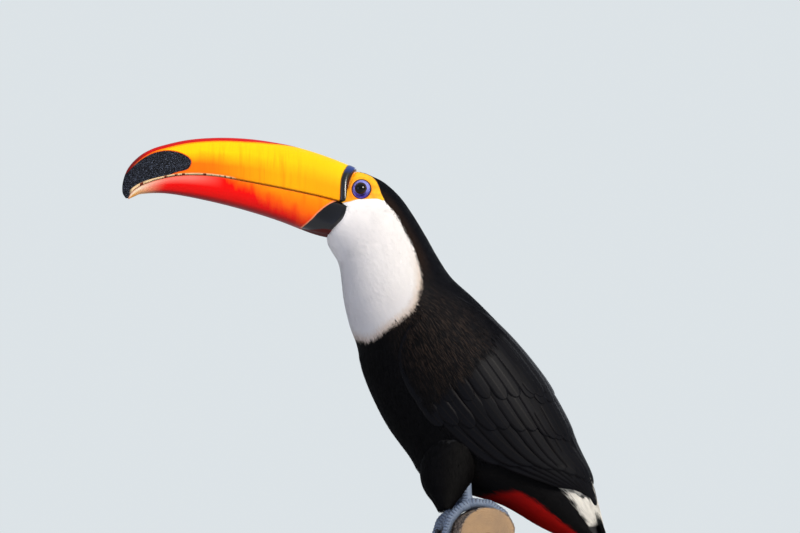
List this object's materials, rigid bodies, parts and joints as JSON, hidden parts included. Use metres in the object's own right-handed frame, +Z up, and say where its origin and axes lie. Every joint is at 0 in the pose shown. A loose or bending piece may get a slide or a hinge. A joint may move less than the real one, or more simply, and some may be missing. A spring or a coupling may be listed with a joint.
{
  "type": "toco toucan display model on perch",
  "caption": "Life-size still model of a toco toucan, gripping a short cut perch that two rods hold above a round wooden base.",
  "frame": {"origin": "centre of the underside of the stand's round base", "axes": "+Z up, -X towards the bill, so the bird's left side is at -Y"},
  "size_m": [0.4406, 0.23, 0.4998],
  "materials": {
    "bill_orange": "satin horn, yellow to red orange, black at the tip and the base",
    "bill_red": "satin horn, red with an orange side",
    "face": "bare orange skin with a violet blue ring round the eye",
    "bib_white": "soft white feathers",
    "plumage_black": "black feathers, faintly blue on the back",
    "eye": "wet gloss",
    "foot": "scaly blue grey skin",
    "claw": "dark horn",
    "bark": "rough grey brown bark, pale cut ends",
    "base_wood": "satin varnish",
    "rod_steel": "brushed"
  },
  "bodies": {
    "root": {"bill_upper": "bill_orange", "bill_lower": "bill_red", "head": "face", "neck": "bib_white", "trunk": "plumage_black", "tail": "plumage_black", "wing_left": "plumage_black", "wing_right": "plumage_black", "thigh_left": "plumage_black", "thigh_right": "plumage_black", "eye_left": "eye", "eye_right": "eye", "foot_left": "foot", "foot_right": "foot", "claw_left_front_outer": "claw", "claw_left_front_inner": "claw", "claw_left_back_outer": "claw", "claw_left_back_inner": "claw", "claw_right_front_outer": "claw", "claw_right_front_inner": "claw", "claw_right_back_outer": "claw", "claw_right_back_inner": "claw", "perch": "bark", "stand_base": "base_wood", "stand_rod_near": "rod_steel", "stand_rod_far": "rod_steel"}
  },
  "joints": []
}
